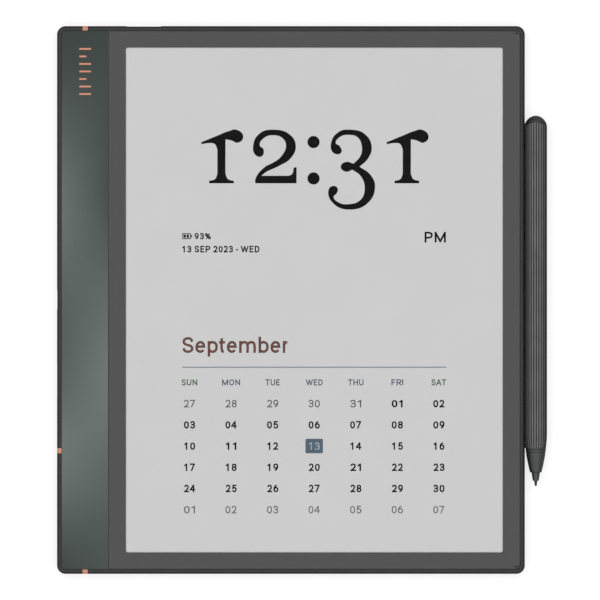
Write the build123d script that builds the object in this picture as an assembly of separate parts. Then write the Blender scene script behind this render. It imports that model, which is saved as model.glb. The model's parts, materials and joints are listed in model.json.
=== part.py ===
"""Slim e-paper writing tablet with its stylus parked on the right edge, lying screen up on a table.

Millimetres. +Z points up out of the screen, +Y to the top of the screen and +X to the stylus side.
Everything is modelled about the tablet's own middle, with z = 0 at the soles of the rubber feet. On export
it all moves by TABLET_X, so that the origin is under the middle of the tablet and stylus together.

The tablet is a metal mid frame with a web across it. The lens, light guide, e-paper panel, backing plate and
pen digitiser lie on top of the web. The cells and the mainboard hang under it, and a rear cover closes them
in. A wide strip down the left side covers a bay for the port, the card tray and both speakers.
"""

from build123d import *
import math
import os

# ---- driving dimensions of the tablet ----
WIDTH = 193.0
LENGTH = 226.0
CORNER_R = 3.5
FOOT_PROUD = 0.5
THICKNESS = 5.8
RIM = 1.95  # from the outermost edge to the recess for the lens
WALL = 3.0  # of the mid frame's side walls

# ---- heights above the table ----
BACK_Z = FOOT_PROUD
TOP_Z = BACK_Z + THICKNESS
MID_Z = BACK_Z + THICKNESS / 2  # the side walls are widest here, and the ports sit on this height
COVER_FLOOR_Z = BACK_Z + 0.75
PARTING_Z = BACK_Z + 1.2
WEB_Z = (3.35, 3.75)
LEDGE_Z = 5.4  # the lens and the strip are stuck down on this ledge
LENS_Z = 5.6
STRIP_Z = 5.5
BOARD_Z = (2.2, 2.8)

# ---- side profile: two arcs a side, one large about the mid height and one small at each face ----
TOP_EDGE = (1.3, 1.0)  # how far the edge falls back, and the small radius
BACK_EDGE = (1.9, 1.4)

# ---- plan: the seam between strip and lens, the bay under the strip and the display well under the lens ----
INNER_X = WIDTH / 2 - WALL
INNER_Y = LENGTH / 2 - WALL
RECESS_X = WIDTH / 2 - RIM
RECESS_Y = LENGTH / 2 - RIM
RECESS_R = 1.6
SEAM_X = -75.3
BAR_X = (-76.4, -74.4)  # partition between bay and well
FIT_GAP = 0.1
SEAM_GAP = 0.03
WINDOW = (155.4, 208.1)
WINDOW_R = 1.0
WINDOW_X = 9.65

# ---- power button, in the top wall ----
BUTTON_X = -60.6
BUTTON = (14.6, 2.4)
BUTTON_RECESS = 0.34
BUTTON_FLAT = 0.3  # how deep the wall's bulge is flattened round the button
BUTTON_TRAVEL = 0.3

# ---- port, tray, microphone and speakers, in the left wall ----
PORT_SHELL = (8.94, 3.16)
PORT_Y = 0.0
TRAY_Y = -33.0
TRAY_FACE = (14.4, 2.2)
MIC_Y = 17.0
MIC_HOLE_R = 0.45
SPEAKER_Y = (83.5, -83.5)
SPEAKER_SIZE = (14.1, 22.0)
SPEAKER_SLOTS = 6
SPEAKER_SLOT = (2.4, 1.0)
SPEAKER_PITCH = 3.4

# ---- orange inlays across the rim ----
BAND = 2.1
BAND_DEPTH = 1.2
BAND_X = -84.75
BAND_Y = -62.1

# ---- fasteners and feet ----
FOOT_XY = (83.0, 102.0)
FOOT_R = 4.5
FOOT_SINK = 0.3
REAR_SCREW = (0.8, 1.4)  # shank and head radius
BOARD_SCREW = (0.7, 1.25)
BOARD_SCREWS = [(-70, 62), (-49, 62), (-70, 12), (-49, 12), (-70, -54), (-49, -54)]
THREAD_GAP = 0.03
REAR_SCREW_TIP_Z = 3.3
BOARD_SCREW_TIP_Z = 3.55

# ---- stylus ----
PEN_R = 4.65
PEN_FLAT = 4.33  # from the axis to the flat that meets the tablet
PEN_GAP = 0.1
PEN_X = WIDTH / 2 + PEN_GAP + PEN_FLAT
PEN_Z = PEN_R
FLUTES = 26
FLUTE_R = 0.55
FLUTE_DEPTH = 0.16
PEN_TOP_Y = 76.0
DOME_LENGTH = 5.0
CAP_Y = 73.2
TAPER_Y = -54.9
NOSE_Y = -61.3
NOSE_R = 4.20
COLLAR_Y = -71.1
COLLAR_R = (1.78, 1.25)
NIB_Y = -74.5
NIB_TIP_Y = -76.75
NIB_R = 0.66
NIB_TRAVEL = 0.3
PEN_BORE = 3.6
WIDE_Y = PEN_TOP_Y - DOME_LENGTH
CAP_ANGLE = math.degrees(math.asin((CAP_Y - WIDE_Y) / DOME_LENGTH))

TABLET_X = -(PEN_X + PEN_R - WIDTH / 2) / 2


# ---------------------------------------------------------------- helpers
def block(x, y, z):
    """A box between the two ends given along each axis."""
    size = [max(pair) - min(pair) for pair in (x, y, z)]
    middle = [sum(pair) / 2 for pair in (x, y, z)]
    return Pos(*middle) * Box(*size)


def plate(x, y, z, radius):
    """A flat plate with rounded corners, between the two ends given along each axis."""
    outline = RectangleRounded(x[1] - x[0], y[1] - y[0], radius)
    return extrude(Pos(sum(x) / 2, sum(y) / 2, z[0]) * outline, z[1] - z[0])


def disc(x, y, radius, z):
    return Pos(x, y, z[0]) * Cylinder(radius, z[1] - z[0], align=(Align.CENTER, Align.CENTER, Align.MIN))


def slot_along_x(y, z, size, x):
    """A round-ended bar of the given (length, height), running along X from x[0] to x[1]."""
    return extrude(Plane.YZ.offset(x[0]) * Pos(y, z) * SlotOverall(*size), x[1] - x[0])


def slot_along_y(x, z, size, y):
    """A round-ended bar of the given (length, height), running along Y from y[0] to y[1]."""
    return extrude(Plane.XZ.offset(-y[1]) * Pos(x, z) * SlotOverall(*size), y[1] - y[0])


def rod_along_x(y, z, radius, x):
    return extrude(Plane.YZ.offset(x[0]) * Pos(y, z) * Circle(radius), x[1] - x[0])


def symmetric(half):
    return (-half, half)


def grown(size, gap):
    return tuple(side + 2 * gap for side in size)


def four_corners(x, y):
    return [(sx * x, sy * y) for sx in (-1, 1) for sy in (-1, 1)]


# ---------------------------------------------------------------- the whole tablet's outside
def large_radius(edge):
    """The radius of the large side arc that runs smoothly into an edge's small arc."""
    inset, small = edge
    rise = THICKNESS / 2 - small
    return (inset**2 + rise**2 - small**2) / (2 * (inset - small))


def side_half(edge, up):
    """The two arcs from the widest point to one face, as (inset, height) points of the side profile."""
    inset, small = edge
    large = large_radius(edge)
    rise = THICKNESS / 2 - small
    turn = math.atan2(rise, large - inset)

    def on_large(angle):
        return (large - large * math.cos(angle), up * large * math.sin(angle))

    def on_small(angle):
        return (inset - small * math.cos(angle), up * (rise + small * math.sin(angle)))

    face_point = (inset, up * THICKNESS / 2)
    return [
        (on_large(0), on_large(turn / 2), on_large(turn)),
        (on_large(turn), on_small((turn + math.pi / 2) / 2), face_point),
    ]


def slab():
    """The closed tablet as one solid: a side profile swept round the plan, filled in the middle."""
    x = WIDTH / 2
    y = LENGTH / 2
    path = []
    start = Vector(x, 0, MID_Z)
    here = start
    for sx, sy in [(1, 1), (-1, 1), (-1, -1), (1, -1)]:
        corner = [(sx * x, sy * (y - CORNER_R)), (sx * (x - CORNER_R), sy * y)]
        if sx * sy < 0:
            corner.reverse()
        ends = [Vector(*point, MID_Z) for point in corner]
        centre = Vector(sx * (x - CORNER_R), sy * (y - CORNER_R), MID_Z)
        outward = Vector(sx, sy, 0).normalized() * CORNER_R
        path += [Line(here, ends[0]), ThreePointArc(ends[0], centre + outward, ends[1])]
        here = ends[1]
    path.append(Line(here, start))

    def at_start(point):
        return Vector(x - point[0], 0, MID_Z + point[1])

    arcs = [ThreePointArc(*map(at_start, arc)) for up in (1, -1)
            for arc in side_half(TOP_EDGE if up == 1 else BACK_EDGE, up)]
    flats = Polyline(
        at_start((TOP_EDGE[0], THICKNESS / 2)),
        at_start((WALL, THICKNESS / 2)),
        at_start((WALL, -THICKNESS / 2)),
        at_start((BACK_EDGE[0], -THICKNESS / 2)),
    )
    ring = sweep(make_face([*arcs, *flats.edges()]), Wire(path))
    lap = 0.5
    middle = plate(
        symmetric(INNER_X + lap), symmetric(INNER_Y + lap), (BACK_Z, TOP_Z), CORNER_R - WALL + lap
    )
    return ring + middle


def band_boxes():
    """Where each orange inlay replaces the metal: the full rim on top, and the wall's outside below."""
    side = (PARTING_Z, LEDGE_Z)
    rim = (LEDGE_Z, TOP_Z)
    x = (BAND_X - BAND / 2, BAND_X + BAND / 2)
    y = (BAND_Y - BAND / 2, BAND_Y + BAND / 2)
    return {
        "antenna_band_top": block(x, (LENGTH / 2 - BAND_DEPTH, LENGTH / 2), side)
        + block(x, (RECESS_Y, LENGTH / 2), rim),
        "antenna_band_bottom": block(x, (-LENGTH / 2, BAND_DEPTH - LENGTH / 2), side)
        + block(x, (-LENGTH / 2, -RECESS_Y), rim),
        "antenna_band_left": block((-WIDTH / 2, BAND_DEPTH - WIDTH / 2), y, side)
        + block((-WIDTH / 2, -RECESS_X), y, rim),
    }


# ---------------------------------------------------------------- mid frame
def speaker_slot_ys(middle):
    return [middle + (i - (SPEAKER_SLOTS - 1) / 2) * SPEAKER_PITCH for i in range(SPEAKER_SLOTS)]


PEN_MAGNET = (1.6, 26.0, 2.8)
PEN_MAGNET_Y = (36.0, -24.0)
FLEXES = {"panel": (3.0, 46.0), "digitiser": (48.0, 22.0), "light": (-50.0, 10.0)}  # middle and width in Y
FLEX_THICK = 0.12
CORNER_BLOCK = (14.0, 12.0)
CORNER_Z = (2.05, 5.0)
SCREW_POST_R = 3.0
BUTTON_POCKET = (17.6, 3.4)
BUTTON_POCKET_Y = (109.3, 111.6)


def button_flat():
    """What is cut off the bulging wall round the button, so that a fingertip finds it."""
    floor_y = LENGTH / 2 - BUTTON_FLAT
    outer_y = LENGTH / 2 + 0.1
    half, ramp = BUTTON[0] / 2 - 0.4, 0.8
    outline = Polyline(
        (BUTTON_X - half - ramp, outer_y),
        (BUTTON_X - half, floor_y),
        (BUTTON_X + half, floor_y),
        (BUTTON_X + half + ramp, outer_y),
        close=True,
    )
    return extrude(Plane.XY.offset(PARTING_Z) * make_face(outline.edges()), TOP_Z - PARTING_Z)


def mid_frame(outside, bands):
    top = outside & block(symmetric(WIDTH), symmetric(LENGTH), (PARTING_Z, TOP_Z))
    lens_recess = plate(symmetric(RECESS_X), symmetric(RECESS_Y), (LEDGE_Z, TOP_Z), RECESS_R)
    well = block((BAR_X[1], INNER_X), symmetric(INNER_Y), (WEB_Z[1], LEDGE_Z))
    bay = block((-INNER_X, BAR_X[0]), symmetric(INNER_Y), (WEB_Z[0], LEDGE_Z))
    under = block(symmetric(INNER_X), symmetric(INNER_Y), (PARTING_Z, WEB_Z[0]))
    frame = top - lens_recess - well - bay - under

    for sy in (-1, 1):
        y = (sy * INNER_Y, sy * (INNER_Y - CORNER_BLOCK[1]))
        frame += block((-INNER_X, CORNER_BLOCK[0] - INNER_X), y, CORNER_Z)
        frame += disc(FOOT_XY[0], sy * FOOT_XY[1], SCREW_POST_R, (CORNER_Z[0], WEB_Z[0]))
    for x, y in BOARD_SCREWS:
        frame += disc(x, y, 1.8, (BOARD_Z[1], WEB_Z[0]))

    cuts = [slot_along_x(PORT_Y, MID_Z, grown(PORT_SHELL, FIT_GAP), (-WIDTH / 2, -INNER_X))]
    cuts += [slot_along_x(TRAY_Y, MID_Z, grown(TRAY_FACE, FIT_GAP), (-WIDTH / 2, -INNER_X))]
    cuts += [rod_along_x(MIC_Y, MID_Z, MIC_HOLE_R, (-WIDTH / 2, -INNER_X))]
    for middle in SPEAKER_Y:
        for y in speaker_slot_ys(middle):
            cuts += [slot_along_x(y, MID_Z, SPEAKER_SLOT, (-WIDTH / 2, -INNER_X))]
    cuts += [slot_along_y(BUTTON_X, MID_Z, grown(BUTTON, FIT_GAP), (BUTTON_POCKET_Y[1], LENGTH / 2))]
    cuts += [button_flat()]
    half = BUTTON_POCKET[0] / 2
    cuts += [block((BUTTON_X - half, BUTTON_X + half), BUTTON_POCKET_Y, (PARTING_Z, 5.1))]
    for y in PEN_MAGNET_Y:
        magnet_y = (y - PEN_MAGNET[1] / 2 - FIT_GAP, y + PEN_MAGNET[1] / 2 + FIT_GAP)
        cuts += [block((INNER_X, INNER_X + PEN_MAGNET[0] + FIT_GAP), magnet_y, (2.0, 5.0))]
    for y, width in FLEXES.values():
        cuts += [block((BAR_X[1], -73.4), (y - width / 2 - 1, y + width / 2 + 1), WEB_Z)]
    for x, y in four_corners(*FOOT_XY):
        cuts += [disc(x, y, REAR_SCREW[0] + THREAD_GAP, (CORNER_Z[0], REAR_SCREW_TIP_Z + 0.2))]
    for x, y in BOARD_SCREWS:
        cuts += [disc(x, y, BOARD_SCREW[0] + THREAD_GAP, (BOARD_Z[1], BOARD_SCREW_TIP_Z + 0.05))]
    return frame - cuts - list(bands.values())


def antenna_bands(outside, boxes):
    return {name: outside & box for name, box in boxes.items()}


# ---------------------------------------------------------------- rear cover, feet and its screws
CLIPS = [(x, sy * (INNER_Y - 0.6), 8.0, 1.0) for x in (-30, 20, 70) for sy in (-1, 1)]
CLIPS += [(INNER_X - 0.6, y, 1.0, 8.0) for y in (-75, 0, 75)]
SCREW_HEAD_Z = (BACK_Z + FOOT_SINK, BACK_Z + 0.7)


def rear_cover(outside):
    cover = outside & block(symmetric(WIDTH), symmetric(LENGTH), (BACK_Z, PARTING_Z - 0.08))
    cover -= plate(symmetric(INNER_X + 0.8), symmetric(INNER_Y + 0.8), (COVER_FLOOR_Z, PARTING_Z), 1.2)
    for x, y, w, h in CLIPS:
        cover += block((x - w / 2, x + w / 2), (y - h / 2, y + h / 2), (COVER_FLOOR_Z, 2.6))
    for x, y in four_corners(*FOOT_XY):
        cover += disc(x, y, SCREW_POST_R, (COVER_FLOOR_Z, 2.0))
    for x, y in four_corners(*FOOT_XY):
        cover -= disc(x, y, FOOT_R + 0.05, (BACK_Z, BACK_Z + FOOT_SINK))
        cover -= disc(x, y, REAR_SCREW[1] + 0.1, SCREW_HEAD_Z)
        cover -= disc(x, y, REAR_SCREW[0] + 0.1, (BACK_Z, 2.0))
    return cover


def rubber_feet():
    feet = []
    for x, y in four_corners(*FOOT_XY):
        foot = disc(x, y, FOOT_R, (0.0, BACK_Z + FOOT_SINK))
        feet.append(fillet(foot.edges().group_by(Axis.Z)[0], 0.35))
    return feet


def cross_screw(x, y, radii, head_z, tip_z, recess):
    """A pan-head screw with its head down and a cross recess in it."""
    shank, head = radii
    body = disc(x, y, head, head_z) + disc(x, y, shank, (head_z[1], tip_z))
    arm = (head * 0.55, 0.18)
    for half_x, half_y in (arm, arm[::-1]):
        body -= block((x - half_x, x + half_x), (y - half_y, y + half_y), (head_z[0], head_z[0] + recess))
    return body


def rear_screws():
    corners = four_corners(*FOOT_XY)
    return [cross_screw(x, y, REAR_SCREW, SCREW_HEAD_Z, REAR_SCREW_TIP_Z, 0.25) for x, y in corners]


# ---------------------------------------------------------------- front: strip, lens and display stack
LENS_X = (SEAM_X + SEAM_GAP, RECESS_X - FIT_GAP)
STRIP_X = (FIT_GAP - RECESS_X, SEAM_X - SEAM_GAP)
FACE_Y = symmetric(RECESS_Y - FIT_GAP)
GLUE_EDGE = 0.15
PRINT_EDGE = 0.02
PRINT_Z = (5.52, LENS_Z)
PANEL_X = (-71.5, 90.8)
PANEL_Y = symmetric(108.0)
PANEL_Z = (4.5, 5.08)
GUIDE_X = (-71.0, 90.3)
GUIDE_Y = symmetric(107.5)
GUIDE_Z = (5.12, 5.5)
BACKING_X = (-73.5, 92.6)
BACKING_Y = symmetric(109.0)
BACKING_Z = (4.24, 4.44)
DIGITISER_Z = (3.8, 4.18)
LIGHT_STRIP_X = (-73.3, -72.6)


def round_one_side(body, x_side, radius):
    """Rounds the two upright corners of a plate that lie furthest to one side in X."""
    upright = body.edges().filter_by(Axis.Z).group_by(Axis.X)
    return fillet(upright[-1 if x_side > 0 else 0], radius)


def soften_top(body, amount):
    return chamfer(body.faces().sort_by(Axis.Z)[-1].edges(), amount)


def cover_lens():
    body = round_one_side(block(LENS_X, FACE_Y, (LENS_Z, TOP_Z)), 1, RECESS_R - FIT_GAP)
    return soften_top(body, 0.08)


def side_strip():
    body = round_one_side(block(STRIP_X, FACE_Y, (STRIP_Z, TOP_Z)), -1, RECESS_R - FIT_GAP)
    return soften_top(body, 0.08)


def bezel_mask():
    """The opaque border printed under the lens, as a film of its own."""
    x = (LENS_X[0] + PRINT_EDGE, LENS_X[1] - PRINT_EDGE)
    y = (FACE_Y[0] + PRINT_EDGE, FACE_Y[1] - PRINT_EDGE)
    film = round_one_side(block(x, y, PRINT_Z), 1, RECESS_R - FIT_GAP)
    window_x = (WINDOW_X - WINDOW[0] / 2, WINDOW_X + WINDOW[0] / 2)
    return film - plate(window_x, symmetric(WINDOW[1] / 2), PRINT_Z, WINDOW_R)


def lens_tape():
    x = (LENS_X[0] + GLUE_EDGE, LENS_X[1] - GLUE_EDGE)
    y = (FACE_Y[0] + GLUE_EDGE, FACE_Y[1] - GLUE_EDGE)
    z = (LEDGE_Z, PRINT_Z[0])
    outer = round_one_side(block(x, y, z), 1, RECESS_R - FIT_GAP)
    return outer - block((BAR_X[1], INNER_X), symmetric(INNER_Y), z)


def strip_tape():
    x = (STRIP_X[0] + GLUE_EDGE, STRIP_X[1] - GLUE_EDGE)
    y = (FACE_Y[0] + GLUE_EDGE, FACE_Y[1] - GLUE_EDGE)
    outer = round_one_side(block(x, y, (LEDGE_Z, STRIP_Z)), -1, RECESS_R - FIT_GAP)
    return outer - block((-INNER_X, BAR_X[0]), symmetric(INNER_Y), (LEDGE_Z, STRIP_Z))


def front_light():
    """A strip of flexible circuit along the light guide's left edge, with its row of small lamps."""
    lamps = 24
    pitch = 8.4
    strip = block(LIGHT_STRIP_X, symmetric(103.0), (4.82, 5.4))
    for i in range(lamps):
        y = (i - (lamps - 1) / 2) * pitch
        strip += block((LIGHT_STRIP_X[1], -71.7), (y - 1.5, y + 1.5), (GUIDE_Z[0], 5.4))
    return strip


def flex_ribbon(name, start_z, start_x):
    """A flat flexible circuit from the display stack, over the end of the web and down to the mainboard."""
    y, width = FLEXES[name]
    drop_x = -73.95
    board_z = BOARD_Z[1] + 0.2
    route = (start_x, start_z), (drop_x, start_z), (drop_x, board_z), (-80.0, board_z)
    centre = FilletPolyline(*route, radius=0.3)
    outline = trace(centre, FLEX_THICK)
    return extrude(Plane.XZ.offset(-(y + width / 2)) * outline, width)


# ---------------------------------------------------------------- under the web: board, cells, shields
BOARD_X = (-92.8, -46.0)
BOARD_Y = (-62.0, 70.0)
SHIELDS = {"processor_shield": (-59.5, 36.0, 17.0, 34.0), "power_shield": (-59.5, -20.0, 17.0, 40.0)}
RADIO_SHIELD = (-83.5, 50.0, 12.0, 16.0)
SHIELD_Z = (1.45, BOARD_Z[0])
SHIELD_WALL = 0.12
CELL_X = (-5.5, 57.5)
CELL_SIZE = (60.0, 108.0)
CELL_Z = (1.35, 3.2)


def mainboard():
    board = block(BOARD_X, BOARD_Y, BOARD_Z)
    board = fillet(board.edges().filter_by(Axis.Z), 1.5)
    board -= block((BOARD_X[0], -88.4), (PORT_Y - 5.0, PORT_Y + 5.0), BOARD_Z)
    return board - [disc(x, y, 0.85, BOARD_Z) for x, y in BOARD_SCREWS]


def board_screws():
    head_z = (BOARD_Z[0] - 0.35, BOARD_Z[0])
    return [cross_screw(x, y, BOARD_SCREW, head_z, BOARD_SCREW_TIP_Z, 0.2) for x, y in BOARD_SCREWS]


def board_chips():
    """The packages soldered under the board: processor, memory, storage, power and radio."""
    sizes = [
        (-59.5, 44.0, 13.0, 13.0), (-59.5, 28.0, 11.5, 11.0), (-59.5, -8.0, 11.5, 13.0),
        (-62.5, -25.0, 7.0, 7.0), (-54.5, -25.0, 5.0, 5.0), (-59.5, -35.0, 9.0, 6.0), (-83.5, 50.0, 9.0, 9.0),
    ]
    return [block((x - w / 2, x + w / 2), (y - h / 2, y + h / 2), (1.65, BOARD_Z[0])) for x, y, w, h in sizes]


def board_connectors():
    """One socket on the board for each flexible circuit, and one under it for the cells."""
    sockets = [
        block((-83.0, -80.05), (y - width / 2 - 1, y + width / 2 + 1), (BOARD_Z[1], BOARD_Z[1] + 0.9))
        for y, width in FLEXES.values()
    ]
    return [*sockets, block((-53.0, -50.05), (0.0, 8.0), (1.55, BOARD_Z[0]))]


def shield(x, y, width, length):
    half = (width / 2, length / 2)
    can = plate((x - half[0], x + half[0]), (y - half[1], y + half[1]), SHIELD_Z, 0.8)
    inner_x = (x - half[0] + SHIELD_WALL, x + half[0] - SHIELD_WALL)
    inner_y = (y - half[1] + SHIELD_WALL, y + half[1] - SHIELD_WALL)
    return can - plate(inner_x, inner_y, (SHIELD_Z[0] + SHIELD_WALL, SHIELD_Z[1]), 0.7)


def heat_pad():
    x, y, width, length = SHIELDS["processor_shield"]
    return plate((x - 7, x + 7), (y - length / 2 + 1, y + length / 2 - 1), (COVER_FLOOR_Z, SHIELD_Z[0]), 1.0)


def battery_cell(x):
    width, length = CELL_SIZE
    cell = plate((x - width / 2, x + width / 2), symmetric(length / 2), CELL_Z, 1.5)
    cell = fillet(cell.edges().group_by(Axis.Z)[0], 0.5)
    tab = block((x - 22.0, x + 22.0), (length / 2, length / 2 + 5.0), (2.6, 3.1))
    return cell + tab


def battery_tape():
    """Two pull-out adhesive strips over each cell, which hold it to the web."""
    return [
        block((x + dx - 6.0, x + dx + 6.0), symmetric(48.0), (CELL_Z[1], WEB_Z[0]))
        for x in CELL_X for dx in (-17.0, 17.0)
    ]


def battery_lead():
    left = CELL_X[0] - CELL_SIZE[0] / 2
    line = FilletPolyline((left, 1.75), (-41.0, 1.75), (-43.5, 1.95), (-50.0, 1.95), radius=0.6)
    return extrude(Plane.XZ.offset(-7.0) * trace(line, 0.2), 6.0)


def cell_bridge():
    """The small protection board across the tops of both cells."""
    return block((-27.0, 79.0), (59.1, 63.0), (2.6, WEB_Z[0]))


# ---------------------------------------------------------------- bay: port, tray, speakers, microphone
PORT_X = (-96.0, -88.8)
PORT_WALL = 0.28
READER_X = (-93.3, -77.2)
MESH_X = (-INNER_X, -93.3)
GASKET_X = (-93.3, -92.6)
BOOT_X = (-INNER_X, -92.5)
GASKET_Z = (1.9, 4.9)
READER_Z = (BOARD_Z[1], 4.6)
TONGUE = (12.6, 1.0)  # the tray's flat part, along Y and Z
TONGUE_X = (-95.3, -78.6)
CARD_POCKET = (15.2, 11.2)


def port_shell():
    shell = slot_along_x(PORT_Y, MID_Z, PORT_SHELL, PORT_X)
    shell -= slot_along_x(PORT_Y, MID_Z, grown(PORT_SHELL, -PORT_WALL), (PORT_X[0], PORT_X[1] - 1.3))
    reach = PORT_SHELL[0] / 2
    for sy in (-1, 1):
        side = PORT_Y + sy * (reach - 0.15)
        outer = PORT_Y + sy * (reach + 1.4)
        shell += block((-91.6, -89.6), (side, outer), (BOARD_Z[1], BOARD_Z[1] + 0.6))
    return shell


def port_tongue():
    return block((-94.8, PORT_X[1] - 1.3), (PORT_Y - 3.3, PORT_Y + 3.3), (MID_Z - 0.35, MID_Z + 0.35))


def card_reader():
    y = (TRAY_Y - 7.6, TRAY_Y + 7.6)
    reader = block(READER_X, y, READER_Z)
    half = TONGUE[0] / 2 + 0.15
    channel_z = (MID_Z - TONGUE[1] / 2 - 0.08, MID_Z + TONGUE[1] / 2 + 0.12)
    return reader - block((READER_X[0], -78.3), (TRAY_Y - half, TRAY_Y + half), channel_z)


def card_tray():
    face = slot_along_x(TRAY_Y, MID_Z, TRAY_FACE, (-96.42, TONGUE_X[0]))
    face = fillet(face.faces().sort_by(Axis.X)[0].edges(), 0.15)
    half = (TONGUE[0] / 2, TONGUE[1] / 2)
    tongue = block(TONGUE_X, (TRAY_Y - half[0], TRAY_Y + half[0]), (MID_Z - half[1], MID_Z + half[1]))
    pocket_x = (TONGUE_X[0] + 0.7, TONGUE_X[0] + 0.7 + CARD_POCKET[0])
    pocket_y = (TRAY_Y - CARD_POCKET[1] / 2, TRAY_Y + CARD_POCKET[1] / 2)
    tongue -= block(pocket_x, pocket_y, (MID_Z - half[1] + 0.25, MID_Z + half[1]))
    pin_hole = rod_along_x(TRAY_Y + 5.4, MID_Z, 0.4, (-96.5, TONGUE_X[0]))
    return face + tongue - pin_hole


def speaker(y):
    half_x, half_y = (side / 2 for side in SPEAKER_SIZE)
    x = GASKET_X[1] + half_x
    box = plate((x - half_x, x + half_x), (y - half_y, y + half_y), (1.4, 5.0), 1.0)
    box -= block((x - half_x, x - half_x + 4.0), (y - half_y + 1.5, y + half_y - 1.5), (2.2, 4.6))
    box -= plate((x - 2.0, x + 5.5), (y - 8.0, y + 8.0), (4.5, 5.0), 2.0)
    return box + plate((x - 1.4, x + 4.9), (y - 7.4, y + 7.4), (4.5, 4.8), 1.5)


def speaker_gasket(y):
    half = SPEAKER_SIZE[1] / 2 - 0.2
    width = 0.6
    ring = block(GASKET_X, (y - half, y + half), GASKET_Z)
    mouth_z = (GASKET_Z[0] + width, GASKET_Z[1] - width)
    return ring - block(GASKET_X, (y - half + width, y + half - width), mouth_z)


def speaker_mesh(y):
    half = SPEAKER_SIZE[1] / 2 - 0.2
    return block(MESH_X, (y - half, y + half), GASKET_Z)


def microphone():
    return block((BOOT_X[1], BOOT_X[1] + 2.7), (MIC_Y - 1.75, MIC_Y + 1.75), (BOARD_Z[1], 3.9))


def microphone_boot():
    boot = block(BOOT_X, (MIC_Y - 1.75, MIC_Y + 1.75), (BOARD_Z[1], 4.1))
    return boot - rod_along_x(MIC_Y, MID_Z, MIC_HOLE_R, BOOT_X)


def antenna(sy):
    """A thin printed aerial that lies over one corner block and speaker, under the strip."""
    y = sorted((sy * 82.0, sy * 109.4))
    body = plate((-93.0, -77.5), y, (5.03, 5.18), 0.6)
    return body - block((-90.5, -80.0), (sy * 88.0, sy * 92.0), (5.0, 5.2))


# ---------------------------------------------------------------- power button
BUTTON_FACE_Y = LENGTH / 2 - BUTTON_RECESS
SENSOR = (12.6, 1.5)
SENSOR_DEPTH = 0.2
FLANGE_Y = (111.2, 111.5)


def power_button():
    cap = slot_along_y(BUTTON_X, MID_Z, BUTTON, (FLANGE_Y[0], BUTTON_FACE_Y))
    cap = fillet(cap.faces().sort_by(Axis.Y)[-1].edges(), 0.18)
    flange = slot_along_y(BUTTON_X, MID_Z, (17.0, 3.1), FLANGE_Y)
    plunger = slot_along_y(BUTTON_X, MID_Z, (2.4, 1.2), (110.8, FLANGE_Y[0]))
    sensor_seat = slot_along_y(BUTTON_X, MID_Z, SENSOR, (BUTTON_FACE_Y - SENSOR_DEPTH, BUTTON_FACE_Y))
    return cap + flange + plunger - sensor_seat


def fingerprint_sensor():
    return slot_along_y(BUTTON_X, MID_Z, SENSOR, (BUTTON_FACE_Y - SENSOR_DEPTH, BUTTON_FACE_Y - 0.04))


def button_switch():
    """The snap dome on its flexible circuit, a travel's gap behind the plunger."""
    flex = block((BUTTON_X - 8.3, BUTTON_X + 8.3), (110.0, 110.12), (1.9, 4.9))
    dome = Plane.XZ.offset(-110.12) * Pos(BUTTON_X, MID_Z) * Circle(1.3)
    return flex + extrude(dome, -0.3, taper=30)


def button_bracket():
    return block((BUTTON_X - 8.6, BUTTON_X + 8.6), (109.5, 110.0), (1.8, 5.0))


def frame_magnets():
    depth, length, height = PEN_MAGNET
    return [
        block((INNER_X, INNER_X + depth), (y - length / 2, y + length / 2), (2.1, 2.1 + height))
        for y in PEN_MAGNET_Y
    ]


# ---------------------------------------------------------------- stylus, about its own axis along Y
def turned(points):
    """A solid of revolution about the stylus's axis from (radius, y) points."""
    outline = make_face(Polyline(*points, close=True))
    return revolve(outline, Axis.Y)


def tube(inner, outer, y):
    return turned([(inner, y[0]), (outer, y[0]), (outer, y[1]), (inner, y[1])])


def solid_rod(radius, y):
    return tube(0.0, radius, y)


def dome_arc(start, end):
    """Part of the quarter ellipse that rounds off the stylus's top end, by its angles in degrees."""
    steps = 4
    angles = [math.radians(start + (end - start) * i / steps) for i in range(steps + 1)]
    points = [(PEN_R * math.cos(a), WIDE_Y + DOME_LENGTH * math.sin(a)) for a in angles]
    ends = [(-PEN_R * math.sin(a), DOME_LENGTH * math.cos(a)) for a in (angles[0], angles[-1])]
    return Spline(*points, tangents=ends)


def behind_flat():
    """What the flat that faces the tablet takes off, along the part of the stylus that is wide enough."""
    return block((-2 * PEN_R, -PEN_FLAT), (-PEN_TOP_Y, PEN_TOP_Y), symmetric(PEN_R))


def fluted_length():
    """The straight part of the barrel, with shallow grooves along all of it but the flat."""
    turn = 360 / FLUTES
    reach = PEN_R - FLUTE_DEPTH + FLUTE_R
    section = Circle(PEN_R)
    for i in range(FLUTES):
        angle = math.radians((i + 0.5) * turn)
        if math.cos(angle) * PEN_R > 0.5 - PEN_FLAT:
            section -= Pos(reach * math.cos(angle), reach * math.sin(angle)) * Circle(FLUTE_R)
    section -= Circle(PEN_BORE)
    return extrude(Plane.XZ.offset(-WIDE_Y) * section, WIDE_Y - TAPER_Y)


def pen_barrel():
    rounding = dome_arc(0, CAP_ANGLE)
    step = Polyline(rounding @ 1, (PEN_BORE, CAP_Y), (PEN_BORE, WIDE_Y), rounding @ 0)
    top = revolve(make_face([*rounding.edges(), *step.edges()]), Axis.Y)
    nose = Spline((PEN_R, TAPER_Y), (4.48, -57.7), (NOSE_R, NOSE_Y), tangents=[(0, -1), (-0.09, -1)])
    socket = Polyline(nose @ 1, (3.2, NOSE_Y), (3.2, TAPER_Y), nose @ 0)
    front = revolve(make_face([*nose.edges(), *socket.edges()]), Axis.Y)
    flat = behind_flat()
    return (fluted_length() - flat) + (top - flat) + (front - flat)


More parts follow.
